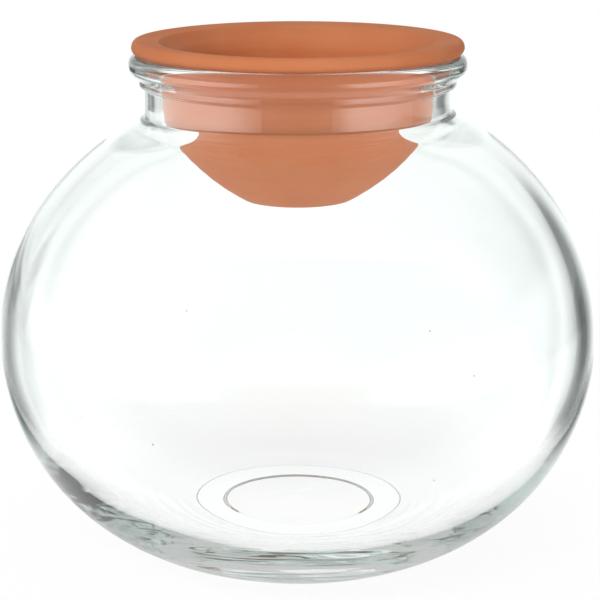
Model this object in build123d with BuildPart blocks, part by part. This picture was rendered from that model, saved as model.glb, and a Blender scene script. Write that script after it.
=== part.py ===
"""A round clear-glass globe bowl with an unglazed terracotta dish hanging in its mouth.

Two loose pieces: the blown glass bowl, which stands on a ring under its base, and the clay dish,
whose flat rim rests on the glass lip. Both are turned forms on the Z axis. The origin is on the
table, at the centre of the bowl's foot ring. All sizes are in millimetres.
"""

import os
from math import acos, degrees, sqrt

from build123d import *

# Outside of the glass globe
globe_radius = 100.0
widest_height = 75.0
dome_rise = 86.3

# Hollow of the glass globe
side_wall = 5.8
crown_wall = 5.2
floor_height = 11.5

# Foot ring under the base, and the recess inside it
foot_radius = 38.0
foot_step = 0.8
punt_radius = 27.2
punt_draft = 1.2
punt_depth = 1.6

# Neck, collar and lip of the glass
bore_radius = 45.4
neck_wall = 5.25
neck_height = 10.0
collar_step = 1.45
collar_depth = 2.2
lip_overhang = 4.65
lip_depth = 7.85
lip_taper = 3.0

# Rounded edges of the glass
neck_root_fillet = 4.5
bore_foot_round = 13.5
collar_round = 0.7
lip_outer_round = 2.9
lip_side_round = 2.2
lip_inner_round = 1.8
foot_round = 0.5

# Terracotta dish
dish_clearance = 1.05
dish_wall = 6.0
dish_depth = 54.0
straight_depth = 16.2
turn_radius = 25.0
turn_angle = 41.0
dish_base_radius = 17.9
rim_radius = 54.25
rim_land = 8.85
rim_thickness = 5.0
rim_fall = 1.0

# Rounded edges of the clay
rim_edge_round = 2.2
rim_land_round = 1.6
bevel_foot_round = 8.0
rim_root_fillet = 1.0
dish_base_round = 1.5

# Places worked out from the sizes above
neck_radius = bore_radius + neck_wall
collar_radius = neck_radius + collar_step
lip_radius = neck_radius + lip_overhang
cavity_radius = globe_radius - side_wall
cavity_rise = dome_rise - crown_wall
heel_radius = widest_height - floor_height
floor_radius = cavity_radius - heel_radius
neck_root_height = widest_height + dome_rise * sqrt(1 - (neck_radius / globe_radius) ** 2)
bore_foot_height = widest_height + cavity_rise * sqrt(1 - (bore_radius / cavity_radius) ** 2)
collar_foot = neck_root_height + neck_height
lip_underside = collar_foot + collar_depth
lip_side_foot = lip_underside + lip_taper
mouth_height = lip_underside + lip_depth

dish_radius = bore_radius - dish_clearance
dish_bore = dish_radius - dish_wall
rim_top = mouth_height + rim_thickness
rim_land_radius = rim_radius - rim_land
rim_land_height = rim_top - rim_fall
dish_base_height = rim_top - dish_depth

same_place = 0.01


def circles_at(turned, radius, height):
    """The circular edges of a turned piece at one radius and height."""

    def is_there(edge):
        right_radius = abs(edge.radius - radius) < same_place
        return right_radius and abs(edge.arc_center.Z - height) < same_place

    return turned.edges().filter_by(GeomType.CIRCLE).filter_by(is_there)


# Glass bowl: one section through wall, neck and lip, turned about Z
with BuildPart() as glass_bowl:
    with BuildSketch(Plane.XZ):
        with BuildLine():
            Polyline(
                (floor_radius, floor_height),
                (0, floor_height),
                (0, punt_depth),
                (punt_radius - punt_draft, punt_depth),
                (punt_radius, 0),
                (foot_radius, 0),
                (foot_radius, foot_step),
            )
            TangentArc((globe_radius, widest_height), (foot_radius, foot_step), tangent=(0, -1))
            dome = EllipticalCenterArc(
                center=(0, widest_height),
                x_radius=globe_radius,
                y_radius=dome_rise,
                arc_size=degrees(acos(neck_radius / globe_radius)),
            )
            neck = Polyline(
                dome @ 1,
                (neck_radius, collar_foot),
                (collar_radius, collar_foot),
                (collar_radius, lip_underside),
                (lip_radius, lip_side_foot),
                (lip_radius, mouth_height),
                (bore_radius, mouth_height),
                (bore_radius, bore_foot_height),
            )
            EllipticalCenterArc(
                center=(0, widest_height),
                x_radius=cavity_radius,
                y_radius=cavity_rise,
                arc_size=degrees(acos(bore_radius / cavity_radius)),
            )
            CenterArc((floor_radius, widest_height), heel_radius, start_angle=270, arc_size=90)
        make_face()
    revolve(axis=Axis.Z)
    fillet(circles_at(glass_bowl, neck_radius, neck_root_height), neck_root_fillet)
    fillet(circles_at(glass_bowl, bore_radius, bore_foot_height), bore_foot_round)
    fillet(circles_at(glass_bowl, lip_radius, mouth_height), lip_outer_round)
    fillet(circles_at(glass_bowl, lip_radius, lip_side_foot), lip_side_round)
    fillet(circles_at(glass_bowl, bore_radius, mouth_height), lip_inner_round)
    fillet(circles_at(glass_bowl, collar_radius, collar_foot), collar_round)
    fillet(circles_at(glass_bowl, neck_radius, collar_foot), collar_round)
    fillet(circles_at(glass_bowl, foot_radius, 0), foot_round)
    fillet(circles_at(glass_bowl, punt_radius, 0), foot_round)
    fillet(circles_at(glass_bowl, punt_radius - punt_draft, punt_depth), foot_round)

# Terracotta dish: a turned cup hollowed to an even wall, with a broad bevelled rim round its mouth
with BuildPart() as terracotta_dish:
    with BuildSketch(Plane.XZ):
        with BuildLine():
            Line((0, dish_base_height), (0, mouth_height))
            Line((0, mouth_height), (dish_radius, mouth_height))
            side = Line((dish_radius, mouth_height), (dish_radius, mouth_height - straight_depth))
            turn = JernArc(side @ 1, tangent=(0, -1), radius=turn_radius, arc_size=-turn_angle)
            belly = TangentArc(turn @ 1, (dish_base_radius, dish_base_height), tangent=turn % 1)
            Line(belly @ 1, (0, dish_base_height))
        make_face()
    revolve(axis=Axis.Z)
    fillet(circles_at(terracotta_dish, dish_base_radius, dish_base_height), dish_base_round)
    mouth_face = terracotta_dish.faces().sort_by(Axis.Z)[-1]
    offset(amount=-dish_wall, openings=mouth_face)
    with BuildSketch(Plane.XZ):
        with BuildLine():
            Polyline(
                (dish_bore, mouth_height),
                (rim_radius, mouth_height),
                (rim_radius, rim_top),
                (rim_land_radius, rim_land_height),
                close=True,
            )
        make_face()
    revolve(axis=Axis.Z)
    fillet(circles_at(terracotta_dish, rim_radius, rim_top), rim_edge_round)
    fillet(circles_at(terracotta_dish, rim_radius, mouth_height), rim_edge_round)
    fillet(circles_at(terracotta_dish, dish_radius, mouth_height), rim_root_fillet)
    fillet(circles_at(terracotta_dish, rim_land_radius, rim_land_height), rim_land_round)
    fillet(circles_at(terracotta_dish, dish_bore, mouth_height), bevel_foot_round)

os.makedirs("parts", exist_ok=True)
for piece, name in ((glass_bowl, "glass_bowl"), (terracotta_dish, "terracotta_dish")):
    piece.part.label = name
    export_step(piece.part, f"parts/{name}.step")
    size = piece.part.bounding_box().size
    print(f"{name}: {size.X:.1f} x {size.Y:.1f} x {size.Z:.1f} mm, {piece.part.volume / 1000:.1f} ml")
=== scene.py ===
# %% [markdown]
# # A glass globe bowl with a clay dish in its mouth
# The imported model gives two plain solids: a thick glass globe and a dish that hangs in its neck.
# This notebook makes them look like the real thing. Glass and fired clay have almost no parts to
# add, so everything depends on smooth turned forms, true refraction and the light around them.

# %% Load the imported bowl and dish
import math

import bmesh
import bpy
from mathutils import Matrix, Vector, noise


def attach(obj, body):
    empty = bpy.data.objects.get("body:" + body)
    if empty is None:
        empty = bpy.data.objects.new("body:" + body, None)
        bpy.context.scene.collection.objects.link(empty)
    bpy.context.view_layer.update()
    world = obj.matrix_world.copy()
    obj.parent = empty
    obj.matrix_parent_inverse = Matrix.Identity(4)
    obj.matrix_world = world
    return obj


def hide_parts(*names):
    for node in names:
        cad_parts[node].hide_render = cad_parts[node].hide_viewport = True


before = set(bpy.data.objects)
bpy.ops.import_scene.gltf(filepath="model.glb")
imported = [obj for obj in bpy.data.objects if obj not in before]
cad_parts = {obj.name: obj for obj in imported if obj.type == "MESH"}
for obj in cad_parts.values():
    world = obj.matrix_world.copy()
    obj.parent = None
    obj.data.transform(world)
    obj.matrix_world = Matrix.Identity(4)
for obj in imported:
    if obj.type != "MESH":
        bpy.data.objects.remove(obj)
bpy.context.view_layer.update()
scene = bpy.context.scene
MM = 0.001

# %% [markdown]
# ## The camera
# The outline of the globe, the rim's ellipse and the line at the foot of the neck fix where the
# camera stood: a little over half a metre away, slightly above the rim, tilted down. A camera could
# be aimed with a constraint, but a plain tilt shows the numbers that came out of the photograph.

# %% Camera
FRAME_SIDE = 600
focal_pixels = 1676.0
axis_pixel = 297.9
camera_distance = 550 * MM
camera_height = 232.66 * MM
camera_tilt = math.radians(14.995)

camera_data = bpy.data.cameras.new("photo_camera")
camera_data.lens = focal_pixels / FRAME_SIDE * camera_data.sensor_width
camera_data.shift_x = (FRAME_SIDE / 2 - axis_pixel) / FRAME_SIDE
camera = bpy.data.objects.new("photo_camera", camera_data)
camera.location = (0, -camera_distance, camera_height)
camera.rotation_euler = (math.pi / 2 - camera_tilt, 0, 0)
scene.collection.objects.link(camera)
scene.camera = camera
print("lens", round(camera_data.lens, 1), "mm")

# %% [markdown]
# ## Drawing a section
# Both pieces are round, so each is one section turned about the upright axis. Blender's Screw
# modifier could turn a drawn curve, but glass needs every point in a known place: a ray bends twice
# in each wall, and a flat facet would show as a crack. So the section is worked out as a fine row
# of points, in millimetres as radius and height, with each corner rounded by a true arc.

# %% Helpers for a rounded line
nothing = 1e-6


def arc_points(centre, radius, start, end, count):
    """Points along an arc from one angle to another, in degrees."""
    turns = [math.radians(start + (end - start) * i / count) for i in range(count + 1)]
    return [(centre[0] + radius * math.cos(t), centre[1] + radius * math.sin(t)) for t in turns]


def rounded_corner(before, corner, after, radius, count=9):
    """Points of the arc that rounds one corner of a section."""
    before, corner, after = Vector(before), Vector(corner), Vector(after)
    to_before = (before - corner).normalized()
    to_after = (after - corner).normalized()
    half = to_before.angle(to_after) / 2
    centre = corner + (to_before + to_after).normalized() * radius / math.sin(half)
    first = corner + to_before * radius / math.tan(half) - centre
    last = corner + to_after * radius / math.tan(half) - centre
    start = math.degrees(math.atan2(first.y, first.x))
    sweep = (math.degrees(math.atan2(last.y, last.x)) - start + 180) % 360 - 180
    return arc_points(centre, radius, start, start + sweep, count)


def rounded_path(corners):
    """A run of straight lines whose corners, given as radius, height and round, are rounded."""
    points = [corners[0][:2]]
    for before, (r, z, rounding), after in zip(corners, corners[1:], corners[2:]):
        if rounding:
            points += rounded_corner(before[:2], (r, z), after[:2], rounding)
        else:
            points.append((r, z))
    return points + [corners[-1][:2]]


def evenly_filled(points, step):
    """The same line with extra points, so that no gap is longer than step."""
    filled = [points[0]]
    for (r0, z0), (r1, z1) in zip(points, points[1:]):
        gap = math.hypot(r1 - r0, z1 - z0)
        if gap < nothing:
            continue
        parts = max(1, math.ceil(gap / step))
        for i in range(1, parts + 1):
            filled.append((r0 + (r1 - r0) * i / parts, z0 + (z1 - z0) * i / parts))
    return filled


print("helpers for a rounded line ready")

# %% [markdown]
# ## From a dome into a wall
# Outside and inside, the globe's dome turns upwards into the straight neck. A fillet between a circle
# and a line has a formula, but the dome is half an ellipse, so the place where the rounding arc fits
# is searched for: the range of places is cut in half until the arc touches both.

# %% Helper for a dome that runs into a wall
dome_steps = 90
bend_steps = 18
halvings = 50


def dome_arc(width, rise, middle, wall_radius, rounding):
    """A dome of half an ellipse that runs into an upright wall through an arc of one radius."""
    low, high = 0.3, math.pi / 2
    for _ in range(halvings):
        turn = (low + high) / 2
        outward = Vector((math.cos(turn) / width, math.sin(turn) / rise)).normalized()
        on_dome = Vector((width * math.cos(turn), middle + rise * math.sin(turn)))
        centre = on_dome + outward * rounding
        if centre.x > wall_radius + rounding:
            low = turn
        else:
            high = turn
    turns = [turn * i / dome_steps for i in range(dome_steps + 1)]
    dome = [(width * math.cos(t), middle + rise * math.sin(t)) for t in turns]
    foot_angle = math.degrees(math.atan2(-outward.y, -outward.x)) % 360
    bend = arc_points(centre, rounding, foot_angle, 180, bend_steps)
    return dome + bend[1:]


print("dome helper ready")

# %% [markdown]
# ## Section of the glass
# The real bowl is one thick-walled piece. Its outside is a flattened globe on a small foot ring, with
# a crease into a short neck, a collar and a rounded lip. Its inside is a flatter globe with a heavy
# heel, so the wall doubles in thickness towards the base. That wedge is what draws the grey band
# along the bottom, so the inside is drawn as carefully as the outside. The shoulder stands up to 1 mm
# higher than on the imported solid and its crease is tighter, because the clay seen through it shows
# that they are.

# %% Sizes of the glass
globe, widest, rise = 100.0, 75.0, 87.4
side_wall, crown_wall, floor_height = 5.8, 5.2, 11.5
foot, foot_step, foot_round = 38.0, 0.8, 0.75
punt, punt_draft, punt_depth = 27.2, 1.2, 1.6
bore, neck_wall, neck_height = 45.4, 5.25, 9.05
collar_step, collar_depth, collar_round = 1.45, 2.2, 0.7
lip_overhang, lip_depth, lip_taper = 4.65, 7.85, 3.0
lip_side_round, lip_outer_round, lip_inner_round = 2.2, 2.9, 1.8
crease_round, bore_foot_round = 0.7, 15.0

neck = bore + neck_wall
collar, lip = neck + collar_step, neck + lip_overhang
collar_foot = widest + rise * math.sqrt(1 - (neck / globe) ** 2) + neck_height
lip_foot = collar_foot + collar_depth
lip_side = lip_foot + lip_taper
mouth = lip_foot + lip_depth
inner_globe, inner_rise = globe - side_wall, rise - crown_wall
heel = widest - floor_height
floor_radius = inner_globe - heel
print("mouth of the glass at", round(mouth, 2), "mm")

# %% Glass section
long_arc_steps = 90
glass_step = 1.5

foot_run = rounded_path([
    (0, punt_depth, 0),
    (punt - punt_draft, punt_depth, foot_round),
    (punt, 0, foot_round),
    (foot, 0, foot_round),
    (foot, foot_step, 0),
])
belly_reach, belly_drop = globe - foot, widest - foot_step
belly_radius = (belly_reach ** 2 + belly_drop ** 2) / (2 * belly_reach)
belly_centre = (globe - belly_radius, widest)
belly_start = math.degrees(math.atan2(-belly_drop, foot - belly_centre[0]))
belly_run = arc_points(belly_centre, belly_radius, belly_start, 0, long_arc_steps)
shoulder_run = dome_arc(globe, rise, widest, neck, crease_round)
inner_shoulder = dome_arc(inner_globe, inner_rise, widest, bore, bore_foot_round)[::-1]
lip_run = rounded_path([
    (*shoulder_run[-1], 0),
    (neck, collar_foot, collar_round),
    (collar, collar_foot, collar_round),
    (collar, lip_foot, 0),
    (lip, lip_side, lip_side_round),
    (lip, mouth, lip_outer_round),
    (bore, mouth, lip_inner_round),
    (*inner_shoulder[0], 0),
])
heel_run = arc_points((floor_radius, widest), heel, 0, -90, long_arc_steps)
outer_line = foot_run + belly_run[1:] + shoulder_run[1:] + lip_run[1:-1]
outside = evenly_filled(outer_line, glass_step)
inner_line = [outside[-1]] + inner_shoulder + heel_run[1:] + [(0, floor_height)]
inside = evenly_filled(inner_line, glass_step)[1:]
glass_section = outside + inside
print("glass section of", len(glass_section), "points")

# %% [markdown]
# ## Turning a section
# A section is turned into a ring of quads, closed with a fan at each end that lies on the axis. A
# small shift of each point, given by a function, makes the piece hand-made rather than perfect.

# %% Helpers that turn a section
def turned_form(section, sectors, shift):
    """A closed turned form. shift takes angle, radius, height and row and gives new ones, in mm."""
    form = bmesh.new()
    rows = []
    for index, (r, z) in enumerate(section):
        ring = []
        on_axis = r < nothing
        for k in range(1 if on_axis else sectors):
            angle = 2 * math.pi * k / sectors
            new_r, new_z = shift(angle, r, z, index)
            place = Vector((new_r * math.cos(angle), new_r * math.sin(angle), new_z)) * MM
            ring.append(form.verts.new(place))
        rows.append(ring)
    for lower, upper in zip(rows, rows[1:]):
        for k in range(sectors):
            nxt = (k + 1) % sectors
            corners = [lower[k % len(lower)], lower[nxt % len(lower)]]
            corners += [upper[nxt % len(upper)], upper[k % len(upper)]]
            form.faces.new(list(dict.fromkeys(corners)))
    bmesh.ops.recalc_face_normals(form, faces=form.faces)
    return form


def finished_piece(name, form):
    """A smooth object made from a form."""
    for face in form.faces:
        face.smooth = True
    mesh = bpy.data.meshes.new(name)
    form.to_mesh(mesh)
    form.free()
    piece = bpy.data.objects.new(name, mesh)
    scene.collection.objects.link(piece)
    return piece


print("turning helpers ready")

# %% [markdown]
# ## The glass bowl
# Blown glass is never quite true. The shoulder is lower on the left, the lip leans forward, the floor
# is thicker on one side, the inner face has broad soft waves, there is a little more glass at the
# bore's foot on the left and the right, and the underside has fine ripples from the mould. A noise
# texture in the material would only fake that, so the points themselves move.

# %% Helpers for unevenness
rim_slope = 0.0078
rim_settle = 0.42


def eased(start, end, value):
    """0 before start, 1 after end, and a smooth rise between them."""
    share = max(0.0, min(1.0, (value - start) / (end - start)))
    return share * share * (3 - 2 * share)


def lean(angle, r):
    """How far the lip and the rim on it hang down: most at the front, hardly at the back."""
    return rim_slope * r * math.sin(angle) - rim_settle


print("helpers for unevenness ready")

# %% Glass bowl
glass_sectors = 192
left_drop = 1.8
ripple_depth, broad_depth, wave_depth = 0.22, 0.16, 0.12
floor_tilt = 0.012
bore_swell, swell_inwards, swell_downwards = 1.0, 0.87, 0.5


def glass_shift(angle, r, z, index):
    """Slight unevenness of the glass."""
    if r < nothing:
        return r, z
    around = Vector((math.cos(angle), math.sin(angle), 0))
    rightward = math.cos(angle)
    on_shoulder = eased(widest, 146, z) * (1 - eased(152, 159, z))
    lift = -left_drop * min(rightward, 0) ** 2 * on_shoulder + lean(angle, r) * eased(152, 160, z)
    if index < len(outside):
        under = eased(20, 4, z) * eased(foot, foot + 4, r)
        ripple = noise.noise(around * 2.2 + Vector((3, 5, r * 0.42))) * ripple_depth * under
        return r, z + lift + ripple
    low = eased(widest, floor_height, z)
    below_neck = 1 - eased(135, 150, z)
    broad = noise.noise(around * 1.3 + Vector((0, 0, z * 0.022))) * broad_depth * below_neck
    wave = noise.noise(around + Vector((4, 7, z * 0.10 + r * 0.03))) * wave_depth * low * eased(24, 60, r)
    out = Vector((r - floor_radius, z - widest)) if z < widest else Vector((r, (z - widest) * 1.3))
    out.normalize()
    tilt = -floor_tilt * r * rightward * low
    at_bore_foot = eased(138, 146, z) * (1 - eased(148, 156, z))
    swell = bore_swell * eased(0.6, 0.92, abs(rightward)) * at_bore_foot
    new_r = r + out.x * (broad + wave) - swell_inwards * swell
    return new_r, z + out.y * (broad + wave) + tilt + lift - swell_downwards * swell


glass_form = turned_form(glass_section, glass_sectors, glass_shift)
print("glass form of", len(glass_form.faces), "faces")

# %% [markdown]
# ## Seeds in the glass
# A few tiny bubbles, which glassmakers call seeds, were caught in the wall. Each is a hollow in the
# glass, so its faces point inwards: light leaves the glass there and enters it again. The upper half
# of each is a little longer, as rising bubbles are.

# %% Seeds, each with bearing, radius, height and size
seed_places = (
    (-66.2, 93.2, 98.8, 0.20),
    (-58.2, 96.4, 84.4, 0.24),
    (-115.7, 96.4, 65.3, 0.22),
    (-131.3, 96.7, 68.6, 0.18),
    (-65.1, 93.9, 53.8, 0.18),
    (52.0, 96.0, 92.0, 0.22),
    (118.0, 95.5, 58.0, 0.25),
    (171.0, 96.6, 81.0, 0.20),
)
seed_stretch = 0.3
crease_angle = math.radians(38)
for bearing, radius, height, size in seed_places:
    turn = math.radians(bearing)
    made = bmesh.ops.create_icosphere(glass_form, subdivisions=2, radius=size * MM)
    place = Vector((radius * math.cos(turn), radius * math.sin(turn), height)) * MM
    for vert in made["verts"]:
        vert.co = vert.co * (1 + seed_stretch * (vert.co.z > 0)) + place
    seed_faces = list({face for vert in made["verts"] for face in vert.link_faces})
    bmesh.ops.reverse_faces(glass_form, faces=seed_faces)

glass_bowl = finished_piece("blown_glass_bowl", glass_form)
glass_bowl.data.set_sharp_from_angle(angle=crease_angle)
print("glass bowl", len(glass_bowl.data.polygons), "faces with", len(seed_places), "seeds")

# %% [markdown]
# ## Section of the clay dish
# The dish was thrown on a wheel: a cup with a rounded belly and a small flat base, and a broad rim
# with a soft outer edge and an inner bevel. The belly is two arcs that run into each other.

# %% Sizes of the dish
dish_clearance, dish_wall, dish_depth, dish_straight = 1.05, 6.0, 54.0, 16.2
turn_radius, turn_angle = 25.0, 41.0
base_radius, base_round, toe_step = 17.9, 1.2, 1.2
rim, rim_land, rim_thickness, rim_fall = 54.25, 8.85, 5.0, 1.0
rim_root_round, rim_edge_round, rim_land_round = 1.0, 2.2, 0.8
flare_drop, flare_round = 2.0, 8.0
seat_gap = 0.05

dish = bore - dish_clearance
dish_bore = dish - dish_wall
seat = mouth + seat_gap
rim_top = mouth + rim_thickness
base_height = rim_top - dish_depth
inner_floor = base_height + dish_wall
turn_height = mouth - dish_straight
print("base of the dish at", round(base_height, 1), "mm")

# %% Dish section
turn_steps, belly_steps, base_steps = 30, 24, 6
clay_step = 0.8
toe_row = 4
floor_margin = 0.3

turn_centre = (dish - turn_radius, turn_height)
turn_run = arc_points(turn_centre, turn_radius, -turn_angle, 0, turn_steps)
turn_foot = Vector(turn_run[0])
inward = -Vector((math.cos(math.radians(-turn_angle)), math.sin(math.radians(-turn_angle))))
to_base = Vector((base_radius, base_height)) - turn_foot
belly_arc = to_base.length_squared / (2 * to_base.dot(inward))
belly_middle = turn_foot + inward * belly_arc
toe = Vector((base_radius, base_height)) - belly_middle
toe_angle = math.degrees(math.atan2(toe.y, toe.x))
outer_belly = arc_points(belly_middle, belly_arc, toe_angle, -turn_angle, belly_steps)[toe_row:]
inner_belly = arc_points(belly_middle, belly_arc - dish_wall, -turn_angle, toe_angle, belly_steps)
inner_belly = [point for point in inner_belly if point[1] > inner_floor + floor_margin]
inner_turn = arc_points(turn_centre, turn_radius - dish_wall, 0, -turn_angle, turn_steps)

base_middle, base_edge = (0, base_height), (base_radius, base_height)
base_corner = rounded_corner(base_middle, base_edge, outer_belly[0], base_round, base_steps)
rim_run = rounded_path([
    (*turn_run[-1], 0),
    (dish, seat, rim_root_round),
    (rim, seat, rim_edge_round),
    (rim, rim_top, rim_edge_round),
    (rim - rim_land, rim_top - rim_fall, rim_land_round),
    (dish_bore, mouth - flare_drop, flare_round),
    (*inner_turn[0], 0),
])
dish_line = [base_middle] + base_corner + outer_belly + turn_run[1:] + rim_run[1:]
dish_line += inner_turn[1:] + inner_belly[1:]
dish_line += [(inner_belly[-1][0] - toe_step, inner_floor), (0, inner_floor)]
dish_section = evenly_filled(dish_line, clay_step)
print("dish section of", len(dish_section), "points")

# %% [markdown]
# ## The clay dish
# Fingers leave faint rings on thrown clay, and the rim is never perfectly level. Both are far under
# a millimetre, but they catch the light, so the turned points carry them.

# %% Clay dish
clay_sectors = 160
ring_spacing, ring_height, ring_wander = 3.1, 0.05, 1.7
rim_wobble, wall_wobble = 0.12, 0.10


def clay_shift(angle, r, z, index):
    """Throwing rings and a slightly uneven wall."""
    if r < nothing:
        return r, z
    around = Vector((math.cos(angle), math.sin(angle), 0))
    on_rim = eased(seat + 1.0, seat + 3.0, z)
    lift = noise.noise(around * 0.8 + Vector((9, 2, 0))) * rim_wobble * on_rim
    lift += lean(angle, r) * eased(150, 166, z)
    phase = 2 * math.pi * z / ring_spacing + ring_wander * noise.noise(around * 1.3)
    uneven = noise.noise(around * 2.2 + Vector((0, 0, z * 0.06))) * wall_wobble
    return r + math.sin(phase) * ring_height + uneven, z + lift


clay_dish = finished_piece("thrown_clay_dish", turned_form(dish_section, clay_sectors, clay_shift))
print("clay dish", len(clay_dish.data.polygons), "faces")

# %% [markdown]
# ## Clear glass
# Soda-lime glass bends light by 1.5 and has a faint green cast that only shows where the eye looks
# through a lot of it. A tinted surface would colour the thin walls as well, so the surface stays
# clear and the colour is absorbed inside the glass, by distance. Light can bounce a long way round
# inside the thick heel and the lip before it gets out, so the scene lets it bounce often, and it
# isn't blurred on the way to the clay behind the glass.

# %% Glass material
glass_bounces = 40

clear_glass = bpy.data.materials.new("clear_glass")
clear_glass.use_nodes = True
glass_tree = clear_glass.node_tree
glass_surface = glass_tree.nodes["Principled BSDF"]
glass_surface.inputs["Base Color"].default_value = (1, 1, 1, 1)
glass_surface.inputs["Roughness"].default_value = 0.0
glass_surface.inputs["IOR"].default_value = 1.5
glass_surface.inputs["Transmission Weight"].default_value = 1.0
glass_depth = glass_tree.nodes.new("ShaderNodeVolumeAbsorption")
glass_depth.inputs["Color"].default_value = (0.80, 0.846, 0.825, 1)
glass_depth.inputs["Density"].default_value = 13.0
glass_out = glass_tree.nodes["Material Output"]
glass_tree.links.new(glass_depth.outputs["Volume"], glass_out.inputs["Volume"])
glass_bowl.data.materials.append(clear_glass)
scene.cycles.max_bounces = glass_bounces
scene.cycles.transmission_bounces = glass_bounces
scene.cycles.glossy_bounces = glass_bounces
scene.cycles.blur_glossy = 0.0
print("glass material with", glass_bounces, "bounces")

# %% [markdown]
# ## Fired clay
# Unglazed terracotta is matt, warm and never one colour. It has broad clouds from the kiln and a fine
# sandy grain with darker specks. Each is a noise of its own size, mixed in steps, and the grain also
# gives the surface its roughness to the touch. First come a few helpers that add and join nodes.

# %% Helpers for node materials
def add_node(tree, kind, **settings):
    """A new node with its settings and input values; a socket given as a value is linked."""
    node = tree.nodes.new(kind)
    for key, value in settings.items():
        if hasattr(node, key):
            setattr(node, key, value)
            continue
        numbered = key[1:].isdigit()
        socket = node.inputs[int(key[1:])] if numbered else node.inputs[key.replace("_", " ")]
        if isinstance(value, bpy.types.NodeSocket):
            tree.links.new(value, socket)
        else:
            socket.default_value = value
    return node


def number_from(tree, operation, first, second):
    """One number worked out from two."""
    return add_node(tree, "ShaderNodeMath", operation=operation, _0=first, _1=second).outputs[0]


def product(tree, first, *others):
    """Two or more numbers multiplied."""
    for other in others:
        first = number_from(tree, "MULTIPLY", first, other)
    return first


def ramped(tree, value, start, end, low=0.0, high=1.0):
    """A number that eases from low to high while the value goes from start to end."""
    node = add_node(
        tree, "ShaderNodeMapRange", interpolation_type="SMOOTHSTEP", Value=value,
        From_Min=start, From_Max=end, To_Min=low, To_Max=high,
    )
    return node.outputs[0]


def mixed(tree, share, first, second):
    """A colour mixed from two, by a share from 0 to 1."""
    mix = add_node(tree, "ShaderNodeMix", data_type="RGBA", _0=share, _6=first, _7=second)
    return mix.outputs[2]


print("node helpers ready")

# %% Clay material
warm, pale, dark = (0.61, 0.190, 0.070, 1), (0.65, 0.225, 0.092, 1), (0.55, 0.165, 0.060, 1)

terracotta = bpy.data.materials.new("terracotta")
terracotta.use_nodes = True
clay_tree = terracotta.node_tree
clay_surface = clay_tree.nodes["Principled BSDF"]
clay_place = add_node(clay_tree, "ShaderNodeTexCoord").outputs["Object"]
clouds = add_node(
    clay_tree, "ShaderNodeTexNoise", Vector=clay_place, Scale=28.0, Detail=4.0, Roughness=0.55,
).outputs["Fac"]
grain = add_node(
    clay_tree, "ShaderNodeTexNoise", Vector=clay_place, Scale=1400.0, Detail=3.0, Roughness=0.6,
).outputs["Fac"]
clay_colour = mixed(clay_tree, ramped(clay_tree, clouds, 0.35, 0.7), warm, pale)
clay_colour = mixed(clay_tree, ramped(clay_tree, grain, 0.58, 0.85, 0.0, 0.7), clay_colour, dark)
clay_tree.links.new(clay_colour, clay_surface.inputs["Base Color"])
clay_surface.inputs["Roughness"].default_value = 0.75
clay_surface.inputs["Specular IOR Level"].default_value = 0.5
clay_bump = add_node(clay_tree, "ShaderNodeBump", Height=grain, Strength=0.15, Distance=0.0002)
clay_tree.links.new(clay_bump.outputs["Normal"], clay_surface.inputs["Normal"])
clay_dish.data.materials.append(terracotta)
print("clay material of", len(clay_tree.nodes), "nodes")

# %% [markdown]
# ## The room
# Clear glass has no look of its own: it shows the room. This one has a white backdrop straight behind,
# a dark gap on each side of it where the backdrop ends, and bright screens beyond the gaps, all
# painted by bearing on a ramp of grey levels. Bearing 0 is towards the camera and 90 is to its right.
# There is a ramp for the table, one for a dark stand just over it on the left, one for eye level, and
# one for higher up, where the room is dimmer.

# %% Ramps of the room's levels, each with bearing and level
table_level = (
    (-180, 1.2), (-162, 1.2), (-157, 0.75), (-151, 0.25), (-147, 0.22), (-142, 0.55), (-137, 0.90),
    (-127, 1.2), (-90, 1.3), (-60, 0.7), (0, 0.3), (60, 0.6), (90, 1.2), (126, 1.3), (131, 0.95),
    (136, 0.38), (141, 0.10), (147, 0.08), (152, 0.50), (158, 1.05), (180, 1.2),
)
stand_level = (
    (-180, 1.2), (-162, 1.2), (-157, 0.20), (-145, 0.10), (-140, 0.8), (-120, 1.0), (0, 0.4),
    (120, 1.0), (130, 0.8), (135, 0.3), (141, 0.10), (147, 0.10), (153, 0.7), (158, 1.1), (180, 1.2),
)
eye_level = (
    (-180, 1.15), (-165, 1.15), (-145, 0.90), (-130, 1.1), (-60, 0.6), (0, 0.3), (60, 0.6),
    (126, 1.0), (134, 0.55), (141, 0.25), (148, 0.22), (155, 0.85), (165, 1.1), (180, 1.15),
)
higher_up = (
    (-180, 0.85), (-165, 0.75), (-156, 0.95), (-146, 0.75), (-115, 0.60), (-87, 1.0), (-60, 0.7),
    (-35, 0.3), (0, 0.3), (35, 0.3), (68, 0.45), (84, 0.75), (97, 0.05), (121, 0.05), (131, 0.7),
    (156, 1.0), (166, 0.85), (180, 0.85),
)
room_tint = (0.95, 1.0, 0.985)


def room_ramp(tree, x, y, levels):
    """The room's colour in the direction of x and y."""
    toward_camera = product(tree, y, -1.0)
    bearing = number_from(tree, "ARCTAN2", x, toward_camera)
    share = add_node(tree, "ShaderNodeMapRange", Value=bearing, From_Min=-math.pi, From_Max=math.pi)
    ramp = add_node(tree, "ShaderNodeValToRGB", Fac=share.outputs[0])
    stops = ramp.color_ramp.elements
    for degrees, _ in levels[1:-1]:
        stops.new((degrees + 180) / 360)
    for stop, (_, level) in zip(stops, levels):
        stop.color = [level * tint for tint in room_tint] + [1]
    return ramp.outputs["Color"]


print("room of", len(table_level), len(stand_level), len(eye_level), len(higher_up), "levels")

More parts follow.
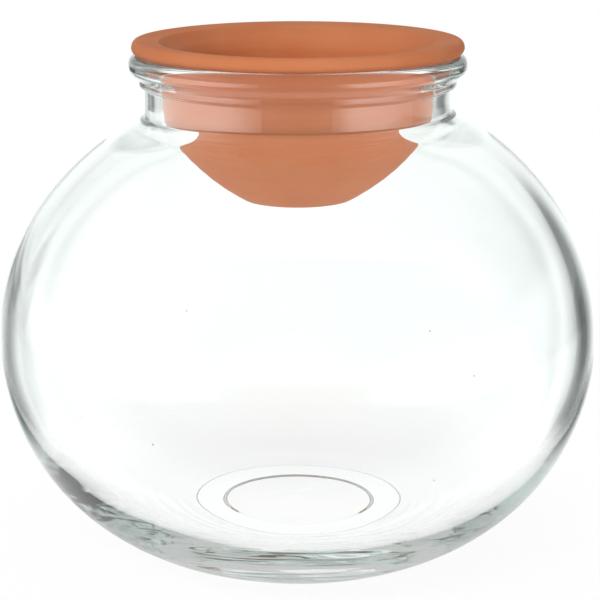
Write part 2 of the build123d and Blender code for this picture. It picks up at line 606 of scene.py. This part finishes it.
# %% [markdown]
# ## Floor
# The floor is plain and pale. To the eye it is white away from the bowl, and near the bowl it keeps the
# soft shadow that the lamps give it. The glass sees only the patch under the bowl and looks past the
# rest into the room, because light at the edges of the bowl comes in low from the sides. Seen as a
# mirror image low on the outside of the bowl, that patch is darker near the bowl: a painted shadow.

# %% Floor
floor_reach = 0.9
floor_form = bmesh.new()
bmesh.ops.create_circle(floor_form, cap_ends=True, segments=96, radius=floor_reach)
pale_floor = finished_piece("pale_floor", floor_form)
print("floor of", floor_reach, "m")

# %% Helpers for the kinds of light
def by_glass(tree, rays):
    """1 for light that glass mirrors or lets through, otherwise 0."""
    return number_from(tree, "MAXIMUM", rays["Is Glossy Ray"], rays["Is Transmission Ray"])


def before_clay(tree, rays):
    """1 until the light has met the clay, and then 0."""
    return number_from(tree, "LESS_THAN", rays["Diffuse Depth"], 0.5)


print("helpers for the kinds of light ready")

# %% Floor material
shadow_white = 0.90
# The mirrored level is a painted shadow: the floor near the bowl, seen as a mirror image in the glass, is
# darkened to it.
white_in_glass, painted_shade_in_mirror, white_past_clay = 1.1, 0.58, 0.82

floor_paint = bpy.data.materials.new("floor_paint")
floor_paint.use_nodes = True
floor_tree = floor_paint.node_tree
floor_tree.nodes.remove(floor_tree.nodes["Principled BSDF"])
floor_rays = add_node(floor_tree, "ShaderNodeLightPath").outputs
floor_place = add_node(floor_tree, "ShaderNodeTexCoord").outputs["Object"]
away = add_node(floor_tree, "ShaderNodeVectorMath", operation="LENGTH", _0=floor_place).outputs["Value"]

floor_by_glass = by_glass(floor_tree, floor_rays)
seen = number_from(floor_tree, "MAXIMUM", floor_rays["Is Camera Ray"], floor_by_glass)
white_share = product(floor_tree, ramped(floor_tree, away, 0.04, 0.14, shadow_white, 1.0), seen)
past_clay = number_from(floor_tree, "GREATER_THAN", floor_rays["Diffuse Depth"], 0.5)
through, shiny = floor_rays["Is Transmission Ray"], floor_rays["Is Glossy Ray"]
mirrored = number_from(floor_tree, "SUBTRACT", shiny, through)
# Painted shadow: in mirror images the floor is darkened towards the bowl, not shaded by the lamps.
painted_shade_under_bowl = product(floor_tree, ramped(floor_tree, away, 0.14, 0.06), mirrored)
white_level = product(
    floor_tree,
    ramped(floor_tree, floor_by_glass, 0.0, 1.0, 1.0, white_in_glass),
    ramped(floor_tree, painted_shade_under_bowl, 0.0, 1.0, 1.0, painted_shade_in_mirror),
    ramped(floor_tree, past_clay, 0.0, 1.0, 1.0, white_past_clay),
)
past_patch = product(
    floor_tree, ramped(floor_tree, away, 0.12, 0.17), floor_by_glass, before_clay(floor_tree, floor_rays),
)
matt_floor = add_node(floor_tree, "ShaderNodeBsdfDiffuse", Color=(0.88, 0.88, 0.88, 1)).outputs[0]
white_floor = add_node(floor_tree, "ShaderNodeEmission", Strength=white_level).outputs[0]
no_floor = add_node(floor_tree, "ShaderNodeBsdfTransparent").outputs[0]
floor_look = add_node(floor_tree, "ShaderNodeMixShader", Fac=white_share, _1=matt_floor, _2=white_floor)
floor_look = add_node(
    floor_tree, "ShaderNodeMixShader", Fac=past_patch, _1=floor_look.outputs[0], _2=no_floor,
)
floor_out = floor_tree.nodes["Material Output"]
floor_tree.links.new(floor_look.outputs[0], floor_out.inputs["Surface"])
pale_floor.data.materials.append(floor_paint)
print("floor material of", len(floor_tree.nodes), "nodes")

# %% [markdown]
# ## World
# The eye sees a plain white backdrop. Glass sees the room, which is white too where it is seen straight
# through from behind, and dark there only as a mirror image on the front. Clay is lit by an even soft
# light, and so is clay behind glass: once light has left the clay, the world stays soft.

# %% World as the glass sees it
ceiling = (0.20, 0.21, 0.205, 1)
plain_front = (1.05, 1.05, 1.05, 1)

world = bpy.data.worlds.new("studio")
scene.world = world
world.use_nodes = True
sky = world.node_tree
sky.nodes.clear()
sky_rays = add_node(sky, "ShaderNodeLightPath").outputs
look = add_node(sky, "ShaderNodeTexCoord").outputs["Generated"]
along = add_node(sky, "ShaderNodeSeparateXYZ", Vector=look).outputs


def height_share(low, high):
    """0 below one height over the horizon, 1 above another, in degrees."""
    return ramped(sky, along["Z"], math.sin(math.radians(low)), math.sin(math.radians(high)))


room_colour = room_ramp(sky, along["X"], along["Y"], table_level)
for levels, low, high in ((stand_level, -11, -9.5), (eye_level, -6.5, -4.5), (higher_up, 5, 14)):
    band = room_ramp(sky, along["X"], along["Y"], levels)
    room_colour = mixed(sky, height_share(low, high), room_colour, band)
room_colour = mixed(sky, height_share(34, 52), room_colour, ceiling)
unmirrored = number_from(sky, "LESS_THAN", sky_rays["Glossy Depth"], 0.5)
straight = product(sky, unmirrored, sky_rays["Is Transmission Ray"])
in_front = product(sky, ramped(sky, along["Y"], -0.2, -0.5), straight)
room_colour = mixed(sky, in_front, room_colour, plain_front)
print("room painted in", world.name)

# %% World as the clay and the eye see it
zenith = 0.95
open_zenith = 0.6
glass_horizon, glass_zenith = 1.22, 0.7
glass_ahead, glass_aside = 0.9, 1.6

open_level = ramped(sky, along["Z"], 0.0, zenith, 0.0, open_zenith)
to_side = product(sky, along["X"], along["X"])
behind_glass = product(
    sky,
    ramped(sky, along["Z"], 0.0, zenith, glass_horizon, glass_zenith),
    ramped(sky, to_side, 0.0, 1.0, glass_ahead, glass_aside),
)
soft_level = mixed(sky, sky_rays["Is Transmission Ray"], open_level, behind_glass)
room_share = product(sky, by_glass(sky, sky_rays), before_clay(sky, sky_rays))
soft_light = add_node(sky, "ShaderNodeBackground", Color=soft_level, Strength=1.0).outputs[0]
room_light = add_node(sky, "ShaderNodeBackground", Color=room_colour, Strength=1.0).outputs[0]
backdrop = add_node(sky, "ShaderNodeBackground", Color=(1, 1, 1, 1), Strength=1.0).outputs[0]
shown = add_node(sky, "ShaderNodeMixShader", Fac=room_share, _1=soft_light, _2=room_light).outputs[0]
is_eye = sky_rays["Is Camera Ray"]
shown = add_node(sky, "ShaderNodeMixShader", Fac=is_eye, _1=shown, _2=backdrop).outputs[0]
sky_out = add_node(sky, "ShaderNodeOutputWorld")
sky.links.new(shown, sky_out.inputs["Surface"])
print("world", world.name, "of", len(sky.nodes), "nodes")

# %% [markdown]
# ## Lamps
# Two large soft lamps stand left and right of the camera. Their pale panels show on the front of the
# neck with a dark gap between them, as they do in the photograph. A real softbox is brightest in its
# middle, so each panel fades towards its edges by the place on it. The left one only shows in the
# glass, because it would light the front of the rim more than the inside of the dish. A smaller one
# over the camera lights the clay, inside the dish too.

# %% Helper for a soft lamp
lamp_aim = Vector((0, 0, 0.12))
end_level = 0.2
upright_fade = 0.3


def soft_lamp(name, bearing, distance, height, width, tall, power, left_fade, right_fade):
    """A soft panel lamp that faces the bowl's neck and fades towards its edges.

    left_fade and right_fade are the shares of its width over which it fades, as seen from the lamp.
    """
    panel = bpy.data.lights.new(name, "AREA")
    panel.shape = "RECTANGLE"
    panel.size = width
    panel.size_y = tall
    panel.energy = power
    panel.use_nodes = True
    tree = panel.node_tree
    on_panel = add_node(tree, "ShaderNodeNewGeometry").outputs["Parametric"]
    across = add_node(tree, "ShaderNodeSeparateXYZ", Vector=on_panel).outputs
    level = product(
        tree,
        ramped(tree, across["X"], 0.0, left_fade, end_level, 1.0),
        ramped(tree, across["X"], 1.0, 1.0 - right_fade, end_level, 1.0),
        ramped(tree, across["Y"], 0.0, upright_fade),
        ramped(tree, across["Y"], 1.0, 1.0 - upright_fade),
    )
    tree.links.new(level, tree.nodes["Emission"].inputs["Strength"])
    lamp = bpy.data.objects.new(name, panel)
    angle = math.radians(bearing)
    lamp.location = (math.sin(angle) * distance, -math.cos(angle) * distance, height)
    aim = lamp_aim - lamp.location
    lamp.rotation_euler = aim.to_track_quat("-Z", "Y").to_euler()
    lamp.visible_camera = False
    lamp.visible_transmission = False
    scene.collection.objects.link(lamp)
    return lamp


print("lamp helper ready")

# %% Lamps
left_lamp = soft_lamp(
    "left_softbox", bearing=-72, distance=0.75, height=0.06, width=1.56, tall=0.32, power=9.0,
    left_fade=1.0, right_fade=0.45,
)
right_lamp = soft_lamp(
    "right_softbox", bearing=57, distance=0.75, height=0.06, width=0.98, tall=0.32, power=3.7,
    left_fade=0.3, right_fade=0.6,
)
front_lamp = soft_lamp(
    "front_softbox", bearing=-24, distance=1.20, height=0.95, width=0.8, tall=0.5, power=21.5,
    left_fade=0.2, right_fade=0.2,
)
left_lamp.visible_diffuse = False
front_lamp.visible_glossy = False
print("lamps", left_lamp.name, right_lamp.name, front_lamp.name)

# %% [markdown]
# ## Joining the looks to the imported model
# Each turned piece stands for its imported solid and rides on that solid's body, so the dish still lifts
# out of the bowl.

# %% Ride and finish
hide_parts("glass_bowl")
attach(glass_bowl, "bowl")
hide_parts("terracotta_dish")
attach(clay_dish, "dish")
scene.view_settings.view_transform = "Standard"
